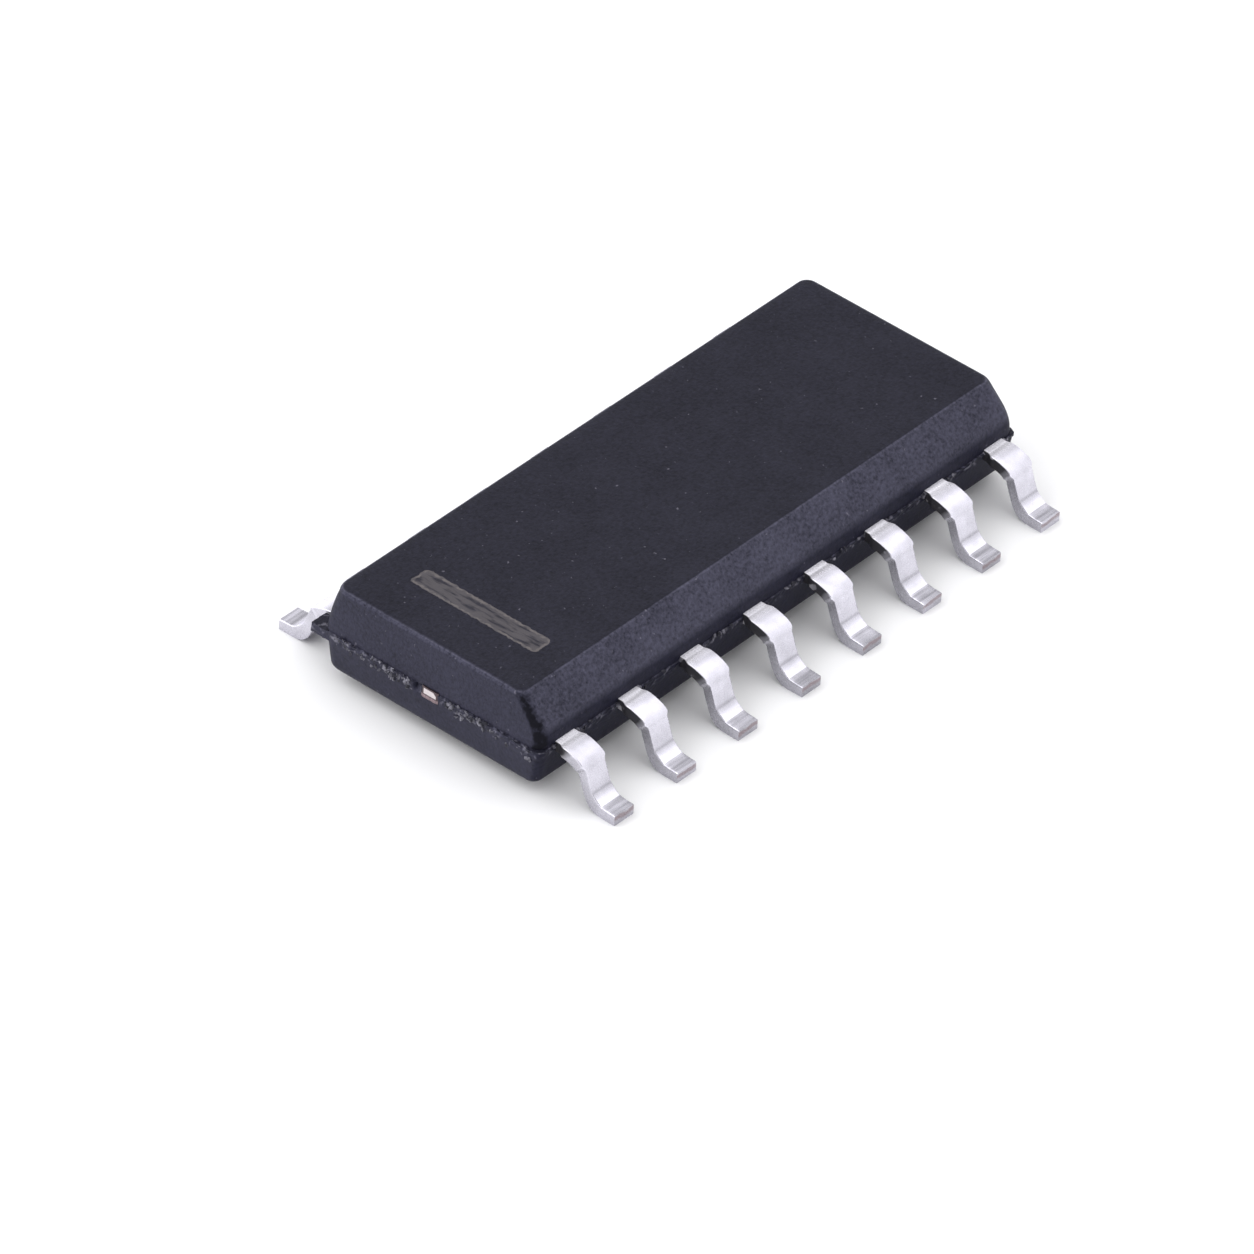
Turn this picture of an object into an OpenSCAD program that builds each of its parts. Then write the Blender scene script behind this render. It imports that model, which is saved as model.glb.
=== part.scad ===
// Sixteen-lead small-outline analog multiplexer chip: gull-wing leads in a moulded epoxy body,
// with the lead frame, silicon die and bond wires that the body encloses.
// Millimetres. +Z is up, +X runs from the pin 1 end to the far end, leads leave along -Y and +Y.
// The origin is the centre of the footprint, on the seating plane under the feet.

/* [Moulded body] */
// Length of the body at the parting line
body_length = 9.92; // [9.7:0.02:10.4]
// Width of the body at the parting line
body_width = 3.9; // [3.8:0.02:4.0]
// Height of the top face above the seating plane
top_height = 1.52; // [1.35:0.01:1.75]
// Gap between the seating plane and the underside
stand_off = 0.16; // [0.1:0.01:0.25]
// Draft of the side walls, in degrees
draft = 5; // [3:0.5:10]
// Width of the 45 degree bevel along the top edge of the pin 1 side
bevel = 0.4; // [0.25:0.01:0.5]
// Radius of the upright corners
corner_radius = 0.16; // [0.05:0.01:0.3]
// Radius of the top and bottom edges
edge_radius = 0.05; // [0.02:0.01:0.15]
// How far the lower mould half stands out past the upper one
parting_step = 0.02; // [0.01:0.01:0.06]
// How far the corner flash beside the last lead stands out from the side
flash_reach = 0.17; // [0.05:0.01:0.25]
// Gap between that flash and the last lead
flash_gap = 0.01; // [0.005:0.005:0.05]

/* [Gull-wing leads] */
// Leads on each long side
leads_per_side = 8; // [4:1:8]
// Spacing of the leads
lead_pitch = 1.27; // [1.0:0.01:1.3]
// Width of a lead outside the body
lead_width = 0.38; // [0.31:0.01:0.51]
// Thickness of the lead frame strip
lead_thickness = 0.17; // [0.13:0.01:0.25]
// Overall width across the lead tips
tip_span = 5.98; // [5.8:0.02:6.2]
// Height of the strip's middle where the leads leave the body, which is also the parting line
lead_level = 0.75; // [0.68:0.01:0.85]
// Fall of the shoulder between the body and the upper bend, in degrees
shoulder_slope = 12; // [0:1:15]
// Slope of the leg between the two bends, in degrees from level
leg_slope = 70; // [65:1:80]
// Inside radius of the upper bend
shoulder_bend = 0.09; // [0.06:0.01:0.15]
// Inside radius of the bend above the foot
foot_bend = 0.12; // [0.08:0.01:0.18]
// Length of the flat foot that is soldered
foot_length = 0.27; // [0.2:0.01:0.4]
// Length of full-width strip held inside the body
root_length = 0.3; // [0.2:0.05:0.4]

/* [Lead frame inside the body] */
// Length of the die pad
pad_length = 4.4; // [3.6:0.1:4.8]
// Width of the die pad
pad_width = 2.1; // [1.7:0.05:2.3]
// How far the die pad sits below the leads
pad_downset = 0.2; // [0.1:0.01:0.25]
// Width of the tie bars that carry the die pad to both ends
tie_bar_width = 0.26; // [0.2:0.01:0.4]
// Level run of a tie bar beside the pad, before it climbs to the leads
tie_bar_run = 0.15; // [0.1:0.01:0.3]
// How far the cut ends of the tie bars stand out from the end faces
tie_bar_stub = 0.015; // [0.01:0.005:0.05]
// Width of the inner lead fingers
finger_width = 0.22; // [0.15:0.01:0.3]
// Clear gap between a finger and the pad, a tie bar or the next finger tip
finger_gap = 0.18; // [0.1:0.01:0.25]
// How far outwards a fanned finger turns in from its lead, measured from its tip
fan_rise = 0.33; // [0.2:0.01:0.5]

/* [Die and bond wires] */
// Length of the silicon die
die_length = 1.9; // [1.4:0.05:2.6]
// Width of the silicon die
die_width = 1.5; // [1.0:0.05:1.7]
// Thickness of the silicon die
die_thickness = 0.28; // [0.15:0.01:0.35]
// Thickness of the adhesive under the die
attach_thickness = 0.025; // [0.01:0.005:0.05]
// How far the adhesive spreads past the die's edges
attach_margin = 0.05; // [0.02:0.01:0.1]
// Diameter of the bond wires
wire_diameter = 0.03; // [0.02:0.005:0.05]
// Height of the wire loops
loop_height = 0.18; // [0.1:0.01:0.25]
// Distance of the bond pads from the die's edge
bond_inset = 0.1; // [0.06:0.01:0.15]
// Distance of the wire's far end from the finger's tip
stitch_inset = 0.1; // [0.06:0.01:0.15]

/* [Hidden] */
lead_count = 2 * leads_per_side;

// Steps of the body's corners, of its rounded edges and of a lead's bends
corner_steps = 8;
edge_steps = 4;
bend_steps = 8;
// Sides and steps of a bond wire
wire_sides = 8;
wire_steps = 10;

epoxy = "#3A3943";
tin = "#C9C6D1";
copper = "#B87A55";
silicon = "#6E7480";
adhesive = "#BFC1C4";
gold = "#D9A93F";

draft_rate = tan(draft);
row_length = (leads_per_side - 1) * lead_pitch;
pad_level = lead_level - pad_downset;
pad_top = pad_level + lead_thickness / 2;
attach_top = pad_top + attach_thickness;
die_top = attach_top + die_thickness;
finger_top = lead_level + lead_thickness / 2;
// Upper mould half: its size at the parting line and the height where the bevel meets the side
upper_half_length = body_length / 2 - parting_step;
upper_half_width = body_width / 2 - parting_step;
bevel_foot = top_height - bevel / (1 - draft_rate);

// Place of lead i: pins 1 to n along -Y, then back along +Y
function lead_x(i) =
    i <= leads_per_side
        ? (i - 1) * lead_pitch - row_length / 2
        : row_length / 2 - (i - leads_per_side - 1) * lead_pitch;
function lead_side(i) = i <= leads_per_side ? -1 : 1;

// Inset of a drafted wall at height z above or below the parting line
function draft_inset(z) = abs(z - lead_level) * draft_rate;

// Half width of the upper half on the bevelled side at height z, for a wall inset by that much
function bevel_side(z, inset) =
    min(upper_half_width - inset,
        upper_half_width - draft_inset(top_height) - bevel + top_height - z);

// Sections of the body from the underside to the top face, each as
// [height, half length, half width on -Y, half width on +Y]; both halves have one at the parting line
lower_sections = [
    for (step = [edge_steps : -1 : 0])
        let (
            turn = 90 * step / edge_steps,
            z = stand_off + edge_radius * (1 - sin(turn)),
            inset = draft_inset(stand_off + edge_radius) + edge_radius * (1 - cos(turn))
        )
        [z, body_length / 2 - inset, body_width / 2 - inset, body_width / 2 - inset]
];
upper_sections = [
    for (step = [0 : edge_steps])
        let (
            turn = 90 * step / edge_steps,
            z = top_height - edge_radius * (1 - sin(turn)),
            inset = draft_inset(top_height - edge_radius) + edge_radius * (1 - cos(turn))
        )
        [z, upper_half_length - inset, bevel_side(z, inset), upper_half_width - inset]
];
foot_inset = draft_inset(bevel_foot);
body_sections = concat(
    lower_sections,
    [[lead_level, body_length / 2, body_width / 2, body_width / 2]],
    [[lead_level, upper_half_length, upper_half_width, upper_half_width]],
    [[bevel_foot, upper_half_length - foot_inset, upper_half_width - foot_inset,
      upper_half_width - foot_inset]],
    upper_sections
);

// Points round one section, with rounded corners
function section_ring(s) = [
    for (corner = [0 : 3])
        for (step = [0 : corner_steps])
            let (
                a = 90 * (corner + step / corner_steps),
                side_x = corner == 0 || corner == 3 ? 1 : -1,
                centre_y = corner < 2 ? s[3] - corner_radius : corner_radius - s[2]
            )
            [side_x * (s[1] - corner_radius) + corner_radius * cos(a),
             centre_y + corner_radius * sin(a),
             s[0]]
];

// Faces of a closed skin over rings of points, stacked from the bottom or from one end to the other
function skin_faces(rings, points) = concat(
    [[for (k = [0 : points - 1]) k]],
    [for (s = [0 : rings - 2])
        for (k = [0 : points - 1])
            let (
                here = s * points + k,
                beside = s * points + (k + 1) % points
            )
            each [[here, here + points, beside],
                  [beside, here + points, beside + points]]],
    [[for (k = [points - 1 : -1 : 0]) (rings - 1) * points + k]]
);

// Both mould halves, with the ledge between them at the parting line
module mould_halves() {
    polyhedron(
        points = [for (s = body_sections) each section_ring(s)],
        faces = skin_faces(len(body_sections), 4 * (corner_steps + 1))
    );
}

// Middle line of a formed lead outside the body, as [y, z, downward slope, mitre stretch]
mid_shoulder = shoulder_bend + lead_thickness / 2;
mid_foot = foot_bend + lead_thickness / 2;
straight_out =
    tip_span / 2 - foot_length - body_width / 2
    - mid_shoulder * (sin(leg_slope) - sin(shoulder_slope))
    - mid_foot * sin(leg_slope);
straight_drop =
    lead_level - lead_thickness / 2
    - mid_shoulder * (cos(shoulder_slope) - cos(leg_slope))
    - mid_foot * (1 - cos(leg_slope));
bend_turn = sin(leg_slope - shoulder_slope);
shoulder_length = (straight_out * sin(leg_slope) - straight_drop * cos(leg_slope)) / bend_turn;
leg_length = (straight_drop * cos(shoulder_slope) - straight_out * sin(shoulder_slope)) / bend_turn;
shoulder_y = body_width / 2 + shoulder_length * cos(shoulder_slope);
shoulder_z = lead_level - shoulder_length * sin(shoulder_slope);
ankle_y =
    shoulder_y + mid_shoulder * (sin(leg_slope) - sin(shoulder_slope)) + leg_length * cos(leg_slope);
ankle_z =
    shoulder_z - mid_shoulder * (cos(shoulder_slope) - cos(leg_slope)) - leg_length * sin(leg_slope);

lead_line = concat(
    [[body_width / 2 - root_length, lead_level, 0, 1]],
    [[body_width / 2, lead_level, shoulder_slope / 2, 1 / cos(shoulder_slope / 2)]],
    [for (step = [0 : bend_steps])
        let (a = shoulder_slope + (leg_slope - shoulder_slope) * step / bend_steps)
        [shoulder_y + mid_shoulder * (sin(a) - sin(shoulder_slope)),
         shoulder_z - mid_shoulder * (cos(shoulder_slope) - cos(a)), a, 1]],
    [for (step = [0 : bend_steps])
        let (a = leg_slope * (1 - step / bend_steps))
        [ankle_y + mid_foot * (sin(leg_slope) - sin(a)),
         ankle_z - mid_foot * (cos(a) - cos(leg_slope)), a, 1]],
    [[tip_span / 2, lead_thickness / 2, 0, 1]]
);

// A point of the strip's upper (side 1) or lower (side -1) surface beside a point of its middle line
function strip_point(p, side) =
    [p[0] + side * p[3] * sin(p[2]) * lead_thickness / 2,
     p[1] + side * p[3] * cos(p[2]) * lead_thickness / 2];

lead_profile = concat(
    [for (p = lead_line) strip_point(p, 1)],
    [for (i = [len(lead_line) - 1 : -1 : 0]) strip_point(lead_line[i], -1)]
);

// Inner fingers: leads beside the pad run straight in, leads past its ends fan in beside the tie bar
function is_fanned(x) = abs(x) + finger_width / 2 > pad_length / 2;
function fan_rank(x) = (row_length / 2 - abs(x)) / lead_pitch;
function finger_tip(x) =
    is_fanned(x)
        ? [sign(x) * (pad_length / 2 + finger_gap),
           tie_bar_width / 2 + finger_gap + finger_width / 2
           + fan_rank(x) * (finger_width + finger_gap)]
        : [x, pad_width / 2 + finger_gap];
function finger_route(x) =
    let (tip = finger_tip(x), start = [x, body_width / 2])
    is_fanned(x) ? [start, [x, tip[1] + fan_rise], tip] : [start, tip];

function unit(v) = v / norm(v);
function turn_left(v) = [-v[1], v[0]];
// Sideways step at point i of a route, mitred where the route bends
function route_step(route, i) =
    let (
        before = unit(turn_left(route[max(i, 1)] - route[max(i, 1) - 1])),
        last = len(route) - 1,
        after = unit(turn_left(route[min(i, last - 1) + 1] - route[min(i, last - 1)]))
    )
    (before + after) / (1 + before * after);
function ribbon(route, width) =
    concat(
        [for (i = [0 : len(route) - 1]) route[i] + route_step(route, i) * width / 2],
        [for (i = [len(route) - 1 : -1 : 0]) route[i] - route_step(route, i) * width / 2]
    );

// Bond wire i runs in one upright plane from the die's bond pad to the finger, in a half-ellipse loop
function on_side(p, i) = [p[0], lead_side(i) * p[1]];
function bond_pad(x) =
    let (tip = finger_tip(x))
    is_fanned(x)
        ? [sign(x) * (die_length / 2 - bond_inset),
           tip[1] * (die_width / 2 - bond_inset) / (pad_width / 2)]
        : [x * (die_length / 2 - bond_inset) / (pad_length / 2), die_width / 2 - bond_inset];
function stitch_place(x) =
    let (route = finger_route(x), last = len(route) - 1)
    route[last] + unit(route[last - 1] - route[last]) * stitch_inset;

// Ring of points round the wire at one step of its loop
function wire_ring(from, to, step) =
    let (
        run = norm(to - from),
        ahead = (to - from) / run,
        a = 180 * step / wire_steps,
        along = run * (1 - cos(a)) / 2,
        height = die_top + (finger_top - die_top) * (1 - cos(a)) / 2 + loop_height * sin(a),
        tangent = unit([run * sin(a) / 2, (finger_top - die_top) * sin(a) / 2 + loop_height * cos(a)])
    )
    [for (k = [0 : wire_sides - 1])
        let (
            across = cos(360 * k / wire_sides) * wire_diameter / 2,
            above = sin(360 * k / wire_sides) * wire_diameter / 2,
            reach = along - above * tangent[1]
        )
        [from[0] + ahead[0] * reach - ahead[1] * across,
         from[1] + ahead[1] * reach + ahead[0] * across,
         height + above * tangent[0]]];

// Lead i: the formed strip outside the body and the flat finger inside it
module lead(i) {
    color(tin)
        translate([lead_x(i), 0, 0])
            mirror([0, lead_side(i) < 0 ? 1 : 0, 0]) {
                rotate([90, 0, 90])
                    linear_extrude(lead_width, center = true)
                        polygon(lead_profile);
                translate([-lead_x(i), 0, lead_level - lead_thickness / 2])
                    linear_extrude(lead_thickness)
                        polygon(ribbon(finger_route(lead_x(i)), finger_width));
            }
}

// Die pad, set below the leads, with the tie bars that end at both end faces
module die_pad() {
    climb_start = pad_length / 2 + tie_bar_run;
    climb_end = climb_start + pad_downset;
    stub_end = body_length / 2 + tie_bar_stub;
    half = lead_thickness / 2;
    color(copper) {
        translate([-pad_length / 2, -pad_width / 2, pad_level - half])
            cube([pad_length, pad_width, lead_thickness]);
        for (end = [0, 1])
            mirror([end, 0, 0])
                rotate([90, 0, 0])
                    linear_extrude(tie_bar_width, center = true)
                        polygon([
                            [0, pad_level - half],
                            [climb_start, pad_level - half],
                            [climb_end, lead_level - half],
                            [stub_end, lead_level - half],
                            [stub_end, lead_level + half],
                            [climb_end, lead_level + half],
                            [climb_start, pad_level + half],
                            [0, pad_level + half]
                        ]);
    }
}

// Adhesive that holds the die on its pad
module die_attach() {
    length = die_length + 2 * attach_margin;
    width = die_width + 2 * attach_margin;
    color(adhesive)
        translate([-length / 2, -width / 2, pad_top])
            cube([length, width, attach_thickness]);
}

// Silicon die with the switching circuit on its top face
module die() {
    color(silicon)
        translate([-die_length / 2, -die_width / 2, attach_top])
            cube([die_length, die_width, die_thickness]);
}

// Bond wire from the die to the finger of lead i
module bond_wire(i) {
    from = on_side(bond_pad(lead_x(i)), i);
    to = on_side(stitch_place(lead_x(i)), i);
    color(gold)
        polyhedron(
            points = [for (step = [0 : wire_steps]) each wire_ring(from, to, step)],
            faces = skin_faces(wire_steps + 1, wire_sides)
        );
}

// Thin flash of compound left at the parting line between the pin 1 end and the last lead,
// which it stops just short of
module corner_flash() {
    start_x = -upper_half_length;
    end_x = lead_x(lead_count) - lead_width / 2 - flash_gap;
    start_y = body_width / 2 - 2 * corner_radius;
    translate([start_x, start_y, lead_level - lead_thickness / 2])
        cube([end_x - start_x, 2 * corner_radius + flash_reach, lead_thickness]);
}

// Epoxy body, moulded round the lead frame, the die and the wires
module body() {
    color(epoxy)
        difference() {
            union() {
                mould_halves();
                corner_flash();
            }
            die_pad();
            die_attach();
            die();
            for (i = [1 : lead_count]) {
                lead(i);
                bond_wire(i);
            }
        }
}

body();
die_pad();
die_attach();
die();
for (i = [1 : lead_count])
    lead(i);
for (i = [1 : lead_count])
    bond_wire(i);
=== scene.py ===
"""Sixteen-lead small-outline chip on a studio floor: moulded body, formed leads, lead frame and die."""
import math
from functools import partial

import bmesh
import bpy
import numpy as np
from bpy.props import FloatProperty, FloatVectorProperty, IntProperty, PointerProperty
from mathutils import Matrix, Vector, noise


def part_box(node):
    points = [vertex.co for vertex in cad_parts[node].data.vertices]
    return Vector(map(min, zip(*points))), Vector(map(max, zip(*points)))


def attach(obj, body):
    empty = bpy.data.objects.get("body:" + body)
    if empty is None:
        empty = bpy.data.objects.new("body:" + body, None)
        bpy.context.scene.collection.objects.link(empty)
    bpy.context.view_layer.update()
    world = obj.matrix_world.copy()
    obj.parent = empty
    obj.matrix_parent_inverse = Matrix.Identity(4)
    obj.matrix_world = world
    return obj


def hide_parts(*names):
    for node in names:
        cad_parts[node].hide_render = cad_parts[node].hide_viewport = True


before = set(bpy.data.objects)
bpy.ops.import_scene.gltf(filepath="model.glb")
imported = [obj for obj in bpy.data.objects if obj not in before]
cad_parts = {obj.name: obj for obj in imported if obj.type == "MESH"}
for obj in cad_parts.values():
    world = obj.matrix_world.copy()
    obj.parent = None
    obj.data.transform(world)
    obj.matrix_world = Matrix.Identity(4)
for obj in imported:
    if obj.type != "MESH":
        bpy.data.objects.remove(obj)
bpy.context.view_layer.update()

bl_info = {
    "name": "Small-outline chip",
    "version": (1, 0, 0),
    "blender": (4, 5, 0),
    "location": "View3D > Sidebar > Chip",
    "description": "Builds a sixteen-lead small-outline chip around its packed solids",
    "category": "Add Mesh",
}

MM = 0.001
BODY_LOW, BODY_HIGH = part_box("body")
PAD_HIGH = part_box("die_pad")[1]
LEAD_NODES = [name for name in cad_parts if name.startswith("lead_")]
WIRE_NODES = [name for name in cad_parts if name.startswith("bond_wire_")]

# In millimetres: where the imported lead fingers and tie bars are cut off, and the strip's thickness
FINGER_END = 1.64
TIE_BAR_END = 4.86
STRIP_THICK = 0.17

# What settings of one sort have in common
LENGTH = {"unit": "LENGTH", "precision": 5}
COLOUR = {"subtype": "COLOR", "min": 0, "max": 1}


def linear(hex_colour):
    """Linear RGB of an sRGB hex colour."""
    parts = [int(hex_colour[i:i + 2], 16) / 255 for i in (1, 3, 5)]
    return [c / 12.92 if c <= 0.04045 else ((c + 0.055) / 1.055) ** 2.4 for c in parts]


def per_mm(size):
    """Texture scale, per metre, of a pattern whose features are size millimetres across."""
    return 1 / (size * MM)


def add_node(tree, kind, sockets=(), operation=None, **settings):
    """Adds a node, a shader node unless kind says otherwise. Sockets come in order or by key, and each
    takes a value, an output, or a node for its first live output. Settings are the node's own options."""
    made = tree.nodes.new(kind if "Node" in kind else "ShaderNode" + kind)
    if operation:
        made.operation = operation
    for name, value in settings.items():
        setattr(made, name, value)
    for key, value in sockets.items() if isinstance(sockets, dict) else enumerate(sockets):
        socket = made.inputs[key]
        if isinstance(value, bpy.types.Node):
            value = next(output for output in value.outputs if output.enabled)
        if isinstance(value, bpy.types.NodeSocket):
            tree.links.new(value, socket)
        else:
            socket.default_value = (*value, 1) if socket.type == "RGBA" else value
    return made


def new_material(name):
    """An empty node material, as (material, function that adds a node to it, object coordinates)."""
    material = bpy.data.materials.new(name)
    material.use_nodes = True
    material.node_tree.nodes.clear()
    node = partial(add_node, material.node_tree)
    return material, node, node("TexCoord").outputs["Object"]


def finish_material(node, sockets):
    """Ends a material in one Principled shader."""
    shader = node("BsdfPrincipled", sockets)
    node("OutputMaterial", {"Surface": shader})


def new_piece(name, mesh):
    """Links a finished mesh, in millimetres until here, as an object at the origin."""
    mesh.transform(Matrix.Scale(MM, 4))
    piece = bpy.data.objects.new(name, mesh)
    bpy.context.scene.collection.objects.link(piece)
    return piece


def shade(mesh, angle):
    """Smooth shading, with edges sharper than angle degrees left as edges."""
    mesh.shade_smooth()
    mesh.set_sharp_from_angle(angle=math.radians(angle))


def settle(piece, slot, *nodes):
    """Ties a piece to the frame: its body and the nodes it stands for, which it hides. The slot is not
    used.
    """
    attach(piece, "root")
    if nodes:
        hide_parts(*nodes)


def baked(piece):
    """Turns what the piece's node tree makes into its plain mesh, and takes the modifier off."""
    graph = bpy.context.evaluated_depsgraph_get()
    mesh = bpy.data.meshes.new_from_object(piece.evaluated_get(graph))
    piece.modifiers.clear()
    mesh.name = piece.name
    piece.data = mesh


def run_tree(piece, tree, values):
    """Runs a node tree on a piece with its named inputs set, and keeps the result as a plain mesh."""
    modifier = piece.modifiers.new(tree.name, "NODES")
    modifier.node_group = tree
    for item in tree.interface.items_tree:
        if item.item_type == "SOCKET" and item.in_out == "INPUT" and item.name in values:
            modifier[item.identifier] = values[item.name]
    baked(piece)


def new_tree(name, inputs):
    """A geometry tree with named inputs, as (tree, function that adds a node to it, group input node)."""
    tree = bpy.data.node_groups.new(name, "GeometryNodeTree")
    tree.interface.new_socket("Geometry", in_out="INPUT", socket_type="NodeSocketGeometry")
    for label, kind in inputs:
        tree.interface.new_socket(label, in_out="INPUT", socket_type="NodeSocket" + kind)
    tree.interface.new_socket("Geometry", in_out="OUTPUT", socket_type="NodeSocketGeometry")
    node = partial(add_node, tree)
    return tree, node, node("NodeGroupInput")


class ChipBodySettings(bpy.types.PropertyGroup):
    """Sizes and colours of the moulded body."""
    half_length: FloatProperty(
        name="Half length", description="Middle to end face at the parting line",
        default=-BODY_LOW[0], **LENGTH)
    half_width: FloatProperty(
        name="Half width", description="Middle to side face at the parting line",
        default=-BODY_LOW[1], **LENGTH)
    top: FloatProperty(
        name="Top height", description="Top face above the floor",
        default=BODY_HIGH[2], **LENGTH)
    stand_off: FloatProperty(
        name="Stand-off", description="Gap under the body",
        default=BODY_LOW[2], **LENGTH)
    parting: FloatProperty(
        name="Parting height", description="Height of the seam between the mould halves",
        default=0.000795, **LENGTH)
    bevel: FloatProperty(
        name="Bevel width", description="Width of the bevel on the pin 1 side",
        default=0.00038, **LENGTH)
    shift: FloatVectorProperty(
        name="Mould shift", description="Where the mould sat against the lead frame, along and across",
        default=(-0.00002, 0.00003), size=2, **LENGTH)
    draft: FloatProperty(
        name="Draft", description="Lean of the side walls",
        default=math.radians(5), subtype="ANGLE")
    epoxy: FloatVectorProperty(
        name="Epoxy", description="Colour of the mould compound",
        default=linear("#181821"), **COLOUR)
    # Painted light: the walls' colour, the epoxy tinted bluer for the light they reflect
    painted_wall_tint: FloatVectorProperty(
        name="Painted wall tint", description="Colour of the walls, painted a bluer tint for the light they reflect",
        default=linear("#181825"), **COLOUR)
    etched: FloatVectorProperty(
        name="Etched bar", description="Colour of the laser-etched bar at the pin 1 end",
        default=linear("#4A4749"), **COLOUR)
    broken: FloatVectorProperty(
        name="Broken epoxy", description="Colour of freshly broken compound at the seam",
        default=linear("#8C8A96"), **COLOUR)


class ChipLeadSettings(bpy.types.PropertyGroup):
    """Sizes and colours of the leads."""
    per_side: IntProperty(
        name="Leads per side", description="Leads on each long side",
        default=len(LEAD_NODES) // 2, min=1)
    pitch: FloatProperty(
        name="Pitch", description="Spacing of the leads",
        default=0.00127, **LENGTH)
    width: FloatProperty(
        name="Width", description="Width of a lead outside the body",
        default=0.00039, **LENGTH)
    tin: FloatVectorProperty(
        name="Tin", description="Colour of the tin plating",
        default=linear("#DAD8E2"), **COLOUR)
    copper: FloatVectorProperty(
        name="Copper", description="Colour of the copper where it was cut",
        default=linear("#8F7E82"), **COLOUR)


class ChipStageSettings(bpy.types.PropertyGroup):
    """Camera and light."""
    azimuth: FloatProperty(
        name="Azimuth", description="Camera's turn round the chip",
        default=math.radians(-50.934), subtype="ANGLE")
    elevation: FloatProperty(
        name="Elevation", description="Camera's height angle",
        default=math.radians(38.154), subtype="ANGLE")
    roll: FloatProperty(
        name="Roll", description="Camera's tilt about its own axis",
        default=math.radians(3.256), subtype="ANGLE")
    distance: FloatProperty(
        name="Distance", description="Camera to the middle of the footprint",
        default=0.1925071, unit="LENGTH")
    sideways: FloatVectorProperty(
        name="Aim offset", description="Camera's shift to its right and up",
        default=(-0.0006319, -0.0007016), size=2, unit="LENGTH", precision=7)
    lens: FloatProperty(
        name="Lens", description="Focal length on a 36 mm sensor", default=406.05, unit="CAMERA")
    light: FloatProperty(
        name="Light", description="Strength of the tent round the chip", default=1.57, min=0)
    floor: FloatVectorProperty(
        name="Floor", description="Colour of the floor", default=linear("#F1F1F1"), **COLOUR)


def smooth_min(a, b, width):
    """The smaller of two lengths, rounded over width where they cross."""
    near = max(width - abs(a - b), 0) / width
    return min(a, b) - near * near * width / 4


def span(value, start, end):
    """0 at start, 1 at end, eased between."""
    t = min(max((value - start) / (end - start), 0), 1)
    return t * t * (3 - 2 * t)


def grit(x, y, z, size):
    """Smooth noise between about -1 and 1, with lumps of about size millimetres."""
    return noise.noise(Vector((x, y, z)) * (1 / size))


def body_levels(body):
    """Rings of the body from underside to top: (height, reach of the two ends, near half, far half,
    radius of the near, far right and far left corners, raggedness)."""
    lean = math.tan(body.draft)
    length, width, top = body.half_length / MM, body.half_width / MM, body.top / MM
    low, seam, bevel = body.stand_off / MM, body.parting / MM, body.bevel / MM
    bottom_round, top_round, arris, step = 0.14, 0.08, 0.08, 0.02
    levels = []

    def lower(z, inset=0.0, ragged=0.0):
        # The end walls of the lower half stand steeper than its sides
        end = length - inset - (seam - z) * lean * 0.4
        side = width - inset - (seam - z) * lean * 1.7
        levels.append((z, (end, end), side, side, (0.14, 0.08, 0.16), ragged))

    lower(low, bottom_round + 0.05)
    for turn in np.radians(np.linspace(90, 0, 8)):
        lower(low + bottom_round * (1 - math.sin(turn)), bottom_round * (1 - math.cos(turn)))
    for below in (0.40, 0.30, 0.22, 0.17):
        lower(seam - below)
    # Torn rim of the lower half and the ledge inside it
    for below, ragged in ((0.145, 0.1), (0.12, 0.3), (0.1, 0.5), (0.082, 0.65), (0.066, 0.8),
                          (0.05, 0.9), (0.036, 1), (0.024, 1), (0.012, 1), (0.003, 0.8)):
        lower(seam - below, 0.0, ragged)
    lower(seam, step * 0.6, 0.4)

    edge_top = width - step - (top - seam) * lean - bevel

    def near_half(z):
        # The bevel is a little steeper than 45 degrees
        side = smooth_min(width - step - (z - seam) * lean, edge_top + (top - z) * 0.95, 0.13)
        if top - z < arris * (1 - math.cos(math.pi / 4)):
            middle = edge_top - arris * (math.sqrt(2) - 1)
            side = middle + math.sqrt(max(arris ** 2 - (arris - top + z) ** 2, 0))
        return side

    def upper(z, rolled=0.0, fall=0.0, relief=0.0, ragged=0.0):
        # The pin 1 end leans more than the other and the far wall curves in; the top falls away
        # towards all three
        rise = min(z, top - top_round) - seam
        ends = [length - step - relief - rise * lean * share - rolled - fall * wide
                for share, wide in ((1.23, 0.3), (0.65, 0.8))]
        far = width - step - relief - rise ** 2 * lean * 2.2 - rolled * 0.4 - fall
        corners = (0.18 - 0.02 * rise, 0.075 + 0.2 * rise ** 2, 0.1 + 0.21 * rise ** 2)
        levels.append((z, ends, near_half(z) - relief, far, corners, ragged))

    # Relief under the upper half, its wall and its rounded top edge, tighter along the far side
    for above, relief in ((0.004, 0.006), (0.012, 0.005), (0.024, 0.002), (0.04, 0.0)):
        upper(seam + above, relief=relief, ragged=0.1)
    for z in (seam + 0.07, 0.90, 0.94, *np.linspace(0.96, 1.2, 14), 1.27, 1.31, 1.35, 1.38):
        upper(z)
    for turn in np.linspace(0, 90, 19):
        sine, cosine = math.sin(math.radians(turn)), math.cos(math.radians(turn))
        upper(top - top_round * (1 - sine), top_round * (1 - cosine), 0.1 * span(turn, 55, 90))
    # A last ring on the flat keeps the shading of the top apart from its edge
    z, ends, near, far, corners, ragged = levels[-1]
    margin = 0.03
    levels.append((z, [end - margin for end in ends], near - margin, far - margin, corners, ragged))
    return levels


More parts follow.
